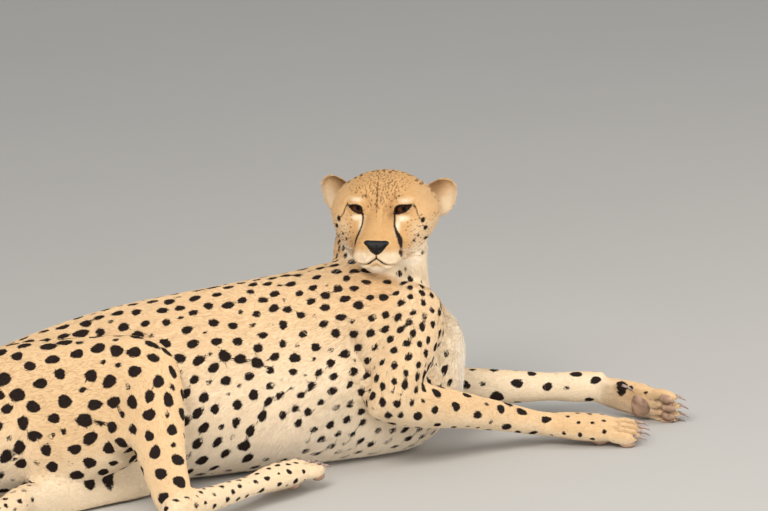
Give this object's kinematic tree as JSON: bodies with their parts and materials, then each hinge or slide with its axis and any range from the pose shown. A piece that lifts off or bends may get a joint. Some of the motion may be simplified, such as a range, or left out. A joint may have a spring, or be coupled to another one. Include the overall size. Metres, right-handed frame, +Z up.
{
  "type": "cheetah",
  "caption": "Life-size still model of an adult cheetah lying on its chest with forelegs stretched ahead, a hind knee raised and the head turned back over the shoulder.",
  "frame": {"origin": "on the floor, under the middle of the whole model's box", "axes": "+X the way the chest and forelegs point, +Y towards the animal's left side, +Z up"},
  "size_m": [1.6686, 0.7392, 0.4172],
  "materials": {
    "coat": "short dense fur, tan with black spots, pale cream below",
    "eye": "polished amber-brown eye with a black pupil",
    "nose_leather": "smooth black nose leather",
    "claw": "smooth horn"
  },
  "bodies": {
    "root": {"hindquarters": "coat", "belly": "coat", "chest": "coat", "neck": "coat", "head": "coat", "ear_left": "coat", "ear_right": "coat", "eye_left": "eye", "eye_right": "eye", "nose": "nose_leather", "tail_base": "coat", "tail_middle": "coat", "tail_tip": "coat", "upper_arm_right": "coat", "forearm_right": "coat", "forepaw_right": "coat", "claw_fore_right_1": "claw", "claw_fore_right_2": "claw", "claw_fore_right_3": "claw", "claw_fore_right_4": "claw", "claw_fore_right_5": "claw", "upper_arm_left": "coat", "forearm_left": "coat", "forepaw_left": "coat", "claw_fore_left_1": "claw", "claw_fore_left_2": "claw", "claw_fore_left_3": "claw", "claw_fore_left_4": "claw", "claw_fore_left_5": "claw", "thigh_right": "coat", "shin_right": "coat", "hindpaw_right": "coat", "claw_hind_right_1": "claw", "claw_hind_right_2": "claw", "claw_hind_right_3": "claw", "claw_hind_right_4": "claw", "thigh_left": "coat", "shin_left": "coat", "hindpaw_left": "coat", "claw_hind_left_1": "claw", "claw_hind_left_2": "claw", "claw_hind_left_3": "claw", "claw_hind_left_4": "claw"}
  },
  "joints": []
}
